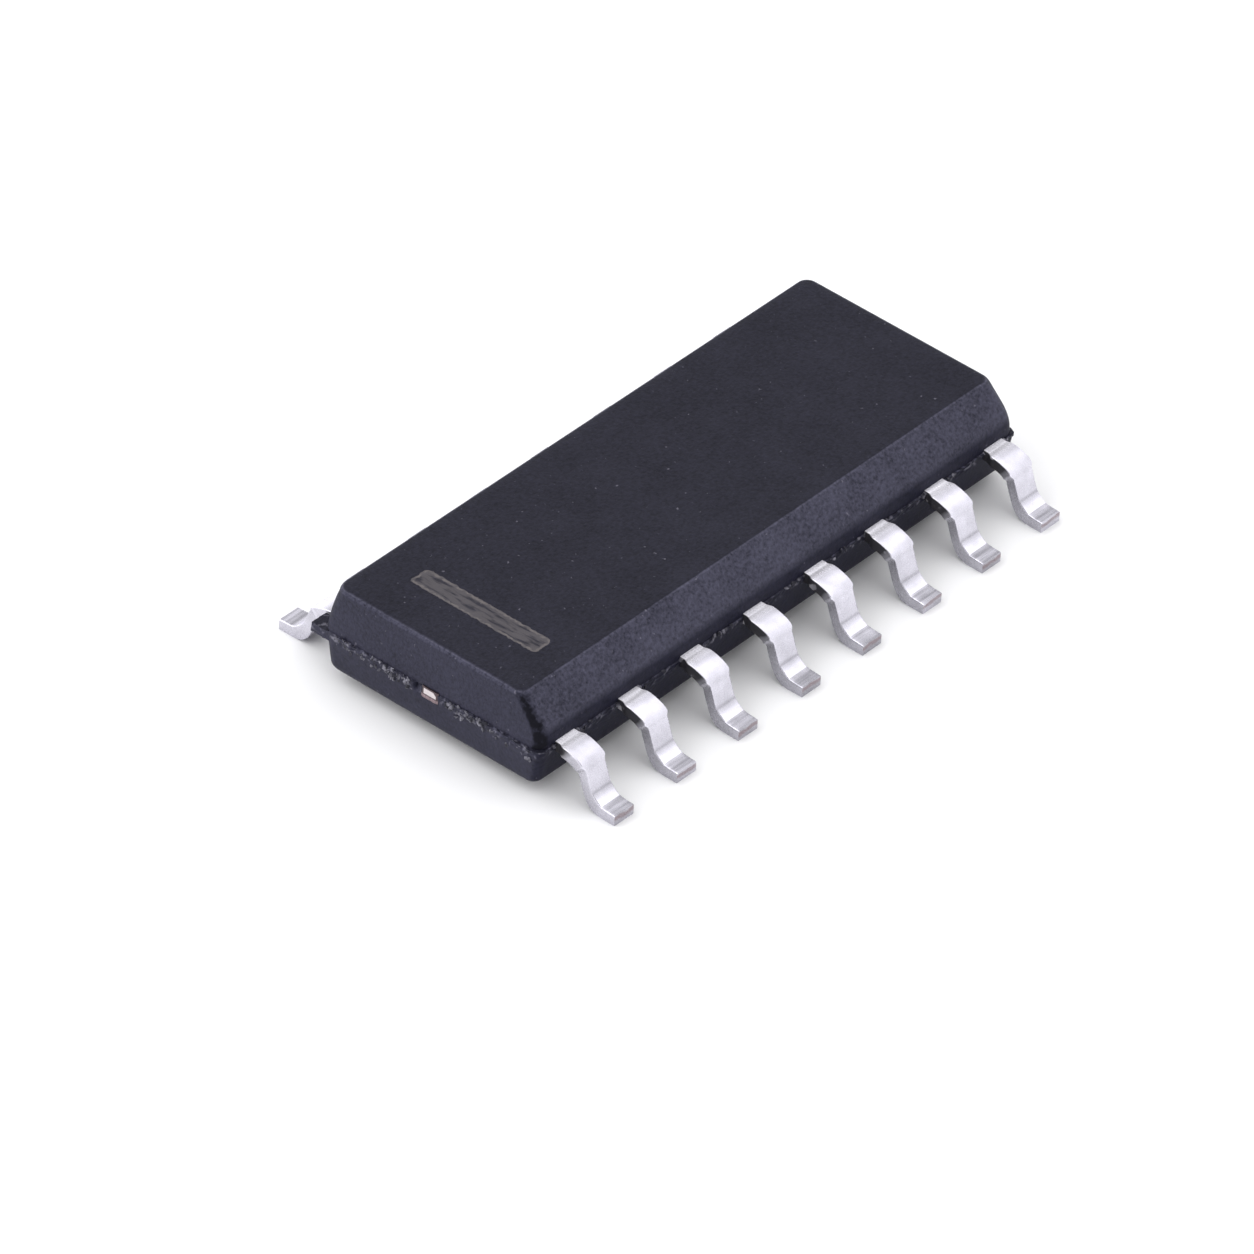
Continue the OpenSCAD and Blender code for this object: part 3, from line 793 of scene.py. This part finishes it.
def matte_tin(leads):
    """Matte electroplated tin on copper strip: soft lilac-grey metal with a fine crystalline grain,
    compound still clinging to the edges near the body, and copper showing where the tip was cut off."""
    material, node, place = new_material("matte_tin")
    x, y, z = node("SeparateXYZ", [place]).outputs
    normal = node("NewGeometry").outputs["Normal"]
    facing = node("VectorMath", [normal], "ABSOLUTE")
    side_on, end_on, _ = node("SeparateXYZ", [facing]).outputs
    out = node("Math", [y], "ABSOLUTE")
    along = node("Math", [x], "ABSOLUTE")
    # Plating crystals are about 0.005 mm; they are drawn at 0.04 mm so that they show
    grain = node("TexNoise", {"Vector": place, "Scale": per_mm(0.04)})
    stain = node("TexNoise", {"Vector": place, "Scale": per_mm(0.22), "Detail": 3.0})
    tone = node("Attribute", attribute_name="lead_tone").outputs["Fac"]
    shade_of = node("MapRange", [stain, 0.3, 0.7, 0.88, 1.06])
    shade_of = node("Math", [tone, 0.05, shade_of], "MULTIPLY_ADD")
    base = node("VectorMath", {0: tuple(leads.tin), "Scale": shade_of}, "SCALE")
    edge = node("MapRange", [side_on, 0.6, 0.85])
    # Painted light and shade along the lead: the leg darker, the heel brighter, dark lines at the creases
    # and across the root, a pale line below the shoulder; the root gets a painted highlight and less metal
    painted_light_and_streaks = node("MapRange", [out, 2.44 * MM, 2.57 * MM, 0.96, 0.84])
    heel = node("MapRange", [out, 2.60 * MM, 2.66 * MM, 0.0, 0.34])
    foot = node("MapRange", [out, 2.750 * MM, 2.745 * MM])
    painted_light_and_streaks = node("Math", [heel, foot, painted_light_and_streaks], "MULTIPLY_ADD")
    for fold, reach, depth in ((2.035, 0.065, 0.28), (2.415, 0.05, -0.16),
                               (2.586, 0.022, 0.3), (2.785, 0.02, 0.1)):
        line = node("Math", [out, fold * MM], "SUBTRACT")
        line = node("Math", [line], "ABSOLUTE")
        line = node("MapRange", [line, 0, reach * MM, 1 - depth, 1.0], interpolation_type="SMOOTHSTEP")
        painted_light_and_streaks = node("Math", [painted_light_and_streaks, line], "MULTIPLY")
    # Painted highlight: the root is mixed towards near-white
    root = node("MapRange", [out, 2.15 * MM, 1.99 * MM, 0, 0.85], interpolation_type="SMOOTHSTEP")
    base = node("Mix", {0: root, 6: base, 7: linear("#F3F1F8")}, data_type="RGBA")
    # Streaks across root and foot are finer than 0.01 mm; they are drawn at 0.06 mm so that they show
    drawn = node("Mapping", {"Vector": place, "Scale": (per_mm(1.2), per_mm(0.06), per_mm(1.2))})
    streak = node("TexNoise", {"Vector": drawn, "Scale": 1.0})
    streak = node("MapRange", [streak, 0.3, 0.7, 0.72, 1.28])
    trodden = node("MapRange", [out, 2.74 * MM, 2.77 * MM])
    trodden = node("Math", [trodden, root], "MAXIMUM")
    streak = node("Mix", {0: trodden, 2: 1.0, 3: streak})
    painted_light_and_streaks = node("Math", [painted_light_and_streaks, streak], "MULTIPLY")
    painted_light_and_streaks = node("Mix", {0: edge, 2: painted_light_and_streaks, 3: 1.0})
    base = node("VectorMath", {0: base, "Scale": painted_light_and_streaks}, "SCALE")
    # Distance along the strip, square to the cut dam bar, whose sheared end is a bright spot
    run, fall, dam_bar = 0.746, 0.666, 1.345 * MM
    drop = node("Math", [z, -fall], "MULTIPLY")
    strip = node("Math", [out, run, drop], "MULTIPLY_ADD")
    spot = node("Math", [strip, dam_bar], "SUBTRACT")
    spot = node("Math", [spot], "ABSOLUTE")
    spot = node("MapRange", [spot, 0.012 * MM, 0.03 * MM, 0.3, 1.0])
    # Painted shade darkens the stamped side faces, which look onto the neighbouring leads, the outermost
    # ones of each row least
    outermost = 4.5 * MM, 4.55 * MM
    painted_edge_shade_and_dark_tip = node("MapRange", [along, *outermost, 0.33, 0.16])
    painted_edge_shade_and_dark_tip = node("Math", [edge, painted_edge_shade_and_dark_tip], "MULTIPLY")
    painted_edge_shade_and_dark_tip = node("Math", [painted_edge_shade_and_dark_tip, spot], "MULTIPLY")
    # The cut end face of the tip is darkened too
    tip = node("MapRange", [out, 2.975 * MM, 2.985 * MM])
    blunt = node("MapRange", [end_on, 0.6, 0.9])
    tip = node("Math", [tip, blunt], "MULTIPLY")
    painted_edge_shade_and_dark_tip = node("Math", [tip, 0.17, painted_edge_shade_and_dark_tip], "MULTIPLY_ADD")
    base = node("Mix", {0: painted_edge_shade_and_dark_tip, 6: base, 7: (0, 0, 0)}, data_type="RGBA")
    # Cut tip: copper in a ragged streak between smears of tin
    waver = node("MapRange", [stain, 0.3, 0.7, -0.025 * MM, 0.025 * MM])
    height = node("Math", [z, waver], "ADD")
    low = node("MapRange", [height, 0.06 * MM, 0.10 * MM])
    high = node("MapRange", [height, 0.155 * MM, 0.135 * MM])
    cut = node("Math", [low, high], "MULTIPLY")
    tip = node("Math", [tip, 0.75], "MULTIPLY")
    cut = node("Math", [cut, tip], "MULTIPLY")
    base = node("Mix", {0: cut, 6: base, 7: leads.copper}, data_type="RGBA")
    # Compound left on the edges between the body and the cut dam bar, less on the outermost edges
    outer = node("MapRange", [along, *outermost, 0, 0.2 * MM])
    reach = node("Math", [strip, outer], "ADD")
    reach = node("Math", [reach, waver], "ADD")
    resin = node("MapRange", [reach, 1.33 * MM, 1.23 * MM])
    resin = node("Math", [resin, edge], "MULTIPLY")
    bare = node("MapRange", [stain, 0.62, 0.68, 1, 0.3])
    resin = node("Math", [resin, bare], "MULTIPLY")
    base = node("Mix", {0: resin, 6: base, 7: linear("#2B2A2F")}, data_type="RGBA")
    # Less metal at the root goes with its painted highlight
    metal = node("MapRange", [root, 0, 1, 1.0, 0.1])
    metal = node("Math", [metal, resin], "SUBTRACT", use_clamp=True)
    rough = node("MapRange", [grain, 0.3, 0.7, 0.25, 0.29])
    rough = node("Math", [resin, 0.25, rough], "MULTIPLY_ADD")
    bump = node("Bump", {"Strength": 0.045, "Distance": 0.002 * MM, "Height": grain})
    finish_material(node, {"Base Color": base, "Metallic": metal, "Roughness": rough, "Normal": bump})
    return material


class CHIP_OT_die_pad(bpy.types.Operator):
    """Makes the die pad with its tie bars, whose sheared ends show on the end faces"""
    bl_idname = "chip.die_pad"
    bl_label = "Die pad and tie bars"

    def execute(self, context):
        mesh = cad_part(["die_pad"], 0, TIE_BAR_END)
        bm = bmesh.new()
        bm.from_mesh(mesh)
        end = PAD_HIGH[0] / MM
        for side in (-1, 1):
            sheared_stub(bm, side, end + side * context.scene.chip_body.shift[0] / MM)
        bm.to_mesh(mesh)
        bm.free()
        shade(mesh, 25)
        mesh.name = "die_pad_strip"
        piece = new_piece("die_pad_strip", mesh)
        mesh.materials.append(sheared_copper(context.scene.chip_leads))
        settle(piece, "copper", "die_pad")
        return {"FINISHED"}


def sheared_stub(bm, side, end):
    """Adds a tie bar's cut end: an upper facet leaning back, a crease, and a blunt lower lip."""
    root = 4.80
    profile = ((root, 0.645), (end - 0.008, 0.648), (end, 0.658), (end, 0.700), (end - 0.006, 0.708),
               (end - 0.008, 0.714), (end - 0.012, 0.80), (end - 0.02, 0.822), (root, 0.83))
    across = np.linspace(-0.105, 0.19, 13)
    rough = 0.004
    rows = []
    for index, y in enumerate(across):
        pinch = 0.012 if index in (0, len(across) - 1) else 0.0
        rows.append([bm.verts.new((side * (x - pinch - rough * grit(x, y, z, 0.05)), y,
                                   z + rough * grit(y, z, x, 0.06))) for x, z in profile])
    faces = []
    for a, b in zip(rows, rows[1:]):
        for k in range(len(profile)):
            j = (k + 1) % len(profile)
            faces.append(bm.faces.new((a[k], b[k], b[j], a[j])))
    faces.append(bm.faces.new(rows[0]))
    faces.append(bm.faces.new(rows[-1][::-1]))
    bmesh.ops.recalc_face_normals(bm, faces=faces)


def sheared_copper(leads):
    """Copper strip sheared at the end face: pinkish metal with drag lines, and a painted highlight on its
    upper facet.
    """
    material, node, place = new_material("sheared_copper")
    _, aside, height = node("SeparateXYZ", [place]).outputs
    # Drag lines run up the sheared face; they are drawn at 0.02 mm so that they show
    drawn = node("Mapping", {"Vector": place, "Scale": (per_mm(0.2), per_mm(0.02), per_mm(0.2))})
    lines = node("TexNoise", {"Vector": drawn, "Scale": 1.0})
    tarnish = node("MapRange", [lines, 0.3, 0.7, 0.7, 1.1])
    base = node("VectorMath", {0: tuple(leads.copper), "Scale": tarnish}, "SCALE")
    # Painted highlight on the sheared facet above the lip, with one corner torn off, inside a darker rim
    rim = node("MapRange", [height, 0.7 * MM, 0.706 * MM, 1.0, 0.4])
    base = node("VectorMath", {0: base, "Scale": rim}, "SCALE")
    slant = node("Math", [aside, -0.8, height], "MULTIPLY_ADD")
    facet = 1.0
    for across, edge, inner in ((aside, -0.075, -0.063), (aside, 0.155, 0.143), (height, 0.714, 0.724),
                                (height, 0.808, 0.796), (slant, 0.826, 0.806)):
        inside = node("MapRange", [across, edge * MM, inner * MM])
        facet = node("Math", [inside, facet], "MULTIPLY")
    # The painted highlight takes a pale pinkish grey
    base = node("Mix", {0: facet, 6: base, 7: linear("#D2CACB")}, data_type="RGBA")
    rough = node("MapRange", [lines, 0.3, 0.7, 0.25, 0.45])
    bump = node("Bump", {"Strength": 0.3, "Distance": 0.003 * MM, "Height": lines})
    finish_material(node, {"Base Color": base, "Metallic": 1.0, "Roughness": rough, "Normal": bump})
    return material


class CHIP_OT_die_and_wires(bpy.types.Operator):
    """Finishes the die, its adhesive and the bond wires, which the body encloses"""
    bl_idname = "chip.die_and_wires"
    bl_label = "Die and bond wires"

    def execute(self, context):
        # Silver-filled adhesive: pale grey with coarse flakes, 0.02 mm
        glue = plain_finish("silver_filled_adhesive", "#9EA1A6", "#C9CBCF", 0.02, 0.6, 0.55)
        # Silicon under passivation: dark blue-grey and glossy, with a slow drift of tint over 0.3 mm
        silicon = plain_finish("passivated_silicon", "#4E5663", "#6C6A86", 0.3, 0.4, 0.18)
        # Drawn gold wire: warm and bright, with drawing marks about 0.01 mm apart
        wire = plain_finish("drawn_gold_wire", "#C6963A", "#E3B95A", 0.01, 1.0, 0.25)
        finishes = {"die_attach": glue, "die": silicon, **{name: wire for name in WIRE_NODES}}
        for name, material in finishes.items():
            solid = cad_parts[name]
            solid.data.materials.clear()
            solid.data.materials.append(material)
        return {"FINISHED"}


def plain_finish(name, dark, light, size, metallic, roughness):
    """A finish that drifts between two tones over lumps of size millimetres."""
    material, node, place = new_material(name)
    drift = node("TexNoise", {"Vector": place, "Scale": per_mm(size)})
    share = node("MapRange", [drift, 0.3, 0.7])
    base = node("Mix", {0: share, 6: linear(dark), 7: linear(light)}, data_type="RGBA")
    rough = node("MapRange", [drift, 0.3, 0.7, roughness * 0.85, roughness * 1.2])
    finish_material(node, {"Base Color": base, "Metallic": metallic, "Roughness": rough})
    return material


class CHIP_OT_stage(bpy.types.Operator):
    """Lays the floor and sets up the light tent and the camera"""
    bl_idname = "chip.stage"
    bl_label = "Stage"

    def execute(self, context):
        stage = context.scene.chip_stage
        mesh = bpy.data.meshes.new("floor")
        half = 900
        corners = [(-half, -half, 0), (half, -half, 0), (half, half, 0), (-half, half, 0)]
        mesh.from_pydata(corners, [], [(0, 1, 2, 3)])
        floor = new_piece("floor", mesh)
        mesh.materials.append(paper_floor(stage))
        back, right, up = view_axes(stage)
        light_tent(context.scene, stage, back)
        camera = bpy.data.cameras.new("camera")
        camera.lens, camera.sensor_width = stage.lens, 36
        camera.clip_start, camera.clip_end = 0.01, 10
        eye = back * stage.distance + right * stage.sideways[0] + up * stage.sideways[1]
        holder = bpy.data.objects.new("camera", camera)
        turn = Matrix((right, up, back)).transposed().to_4x4()
        holder.matrix_world = Matrix.Translation(eye) @ turn
        context.scene.collection.objects.link(holder)
        context.scene.camera = holder
        context.scene.view_settings.view_transform = "Standard"
        return {"FINISHED"}


def view_axes(stage):
    """The camera's backward, right and up directions."""
    az, el, roll = stage.azimuth, stage.elevation, stage.roll
    back = Vector((math.sin(az) * math.cos(el), -math.cos(az) * math.cos(el), math.sin(el)))
    level = Vector((math.cos(az), math.sin(az), 0))
    upright = back.cross(level)
    return (back, level * math.cos(roll) + upright * math.sin(roll),
            upright * math.cos(roll) - level * math.sin(roll))


def paper_floor(stage):
    """Smooth white card: matte, with the faintest cloudiness."""
    material, node, place = new_material("white_card")
    cloud = node("TexNoise", {"Vector": place, "Scale": per_mm(6.0)})
    tone = node("MapRange", [cloud, 0, 1, 0.985, 1.0])
    base = node("VectorMath", {0: tuple(stage.floor), "Scale": tone}, "SCALE")
    finish_material(node, {"Base Color": base, "Roughness": 0.9, "Specular IOR Level": 0.1})
    return material


def light_tent(scene, stage, back):
    """Soft light from all round: brightest high up, dim at the camera's opening and across from it."""
    world = bpy.data.worlds.new("light_tent")
    world.use_nodes = True
    world.node_tree.nodes.clear()
    node = partial(add_node, world.node_tree)
    look = node("TexCoord").outputs["Generated"]
    height = node("SeparateXYZ", [look]).outputs[2]
    crown = node("MapRange", [height, 0.55, 0.85, 1.0, 1.3], interpolation_type="SMOOTHSTEP")
    # Brighter on the far left than on the near right
    aside = node("VectorMath", [look, (-0.7, 0.7, 0)], "DOT_PRODUCT")
    aside = node("Math", [aside, 0.35, 1.0], "MULTIPLY_ADD")
    zenith = node("MapRange", [height, 0.9, 0.97, 1.0, 0.6], interpolation_type="SMOOTHSTEP")
    level = node("Math", [crown, aside], "MULTIPLY")
    level = node("Math", [level, zenith], "MULTIPLY")
    across = -back.x, -back.y, back.z
    for aim, start, end, depth in ((tuple(back), 0.82, 0.97, 0.85), (across, 0.88, 0.985, 0.5)):
        lobe = node("VectorMath", [look, aim], "DOT_PRODUCT")
        gap = node("MapRange", [lobe, start, end, 1.0, 1.0 - depth], interpolation_type="SMOOTHSTEP")
        level = node("Math", [level, gap], "MULTIPLY")
    power = node("Math", [level, stage.light], "MULTIPLY")
    shine = node("Background", {"Color": (0.985, 0.985, 1.0), "Strength": power})
    node("OutputWorld", [shine])
    scene.world = world


SETTINGS = {"chip_body": ChipBodySettings, "chip_leads": ChipLeadSettings, "chip_stage": ChipStageSettings}
OPERATORS = (CHIP_OT_moulded_body, CHIP_OT_seam_crumbs, CHIP_OT_gull_wing_leads, CHIP_OT_die_pad,
             CHIP_OT_die_and_wires, CHIP_OT_stage)


class VIEW3D_PT_chip(bpy.types.Panel):
    """Lists the chip's settings and the steps that build it"""
    bl_label = "Small-outline chip"
    bl_space_type = "VIEW_3D"
    bl_region_type = "UI"
    bl_category = "Chip"

    def draw(self, context):
        for name in SETTINGS:
            settings = getattr(context.scene, name)
            box = self.layout.box()
            for key in settings.__annotations__:
                box.prop(settings, key)
        for operator in OPERATORS:
            self.layout.operator(operator.bl_idname)


def register():
    for kind in (*SETTINGS.values(), *OPERATORS, VIEW3D_PT_chip):
        bpy.utils.register_class(kind)
    for name, kind in SETTINGS.items():
        setattr(bpy.types.Scene, name, PointerProperty(type=kind))


def unregister():
    for name in SETTINGS:
        delattr(bpy.types.Scene, name)
    for kind in (VIEW3D_PT_chip, *OPERATORS, *SETTINGS.values()):
        bpy.utils.unregister_class(kind)


def main():
    register()
    bpy.ops.chip.moulded_body()
    bpy.ops.chip.seam_crumbs()
    bpy.ops.chip.gull_wing_leads()
    bpy.ops.chip.die_pad()
    bpy.ops.chip.die_and_wires()
    bpy.ops.chip.stage()


if __name__ == "__main__":
    main()
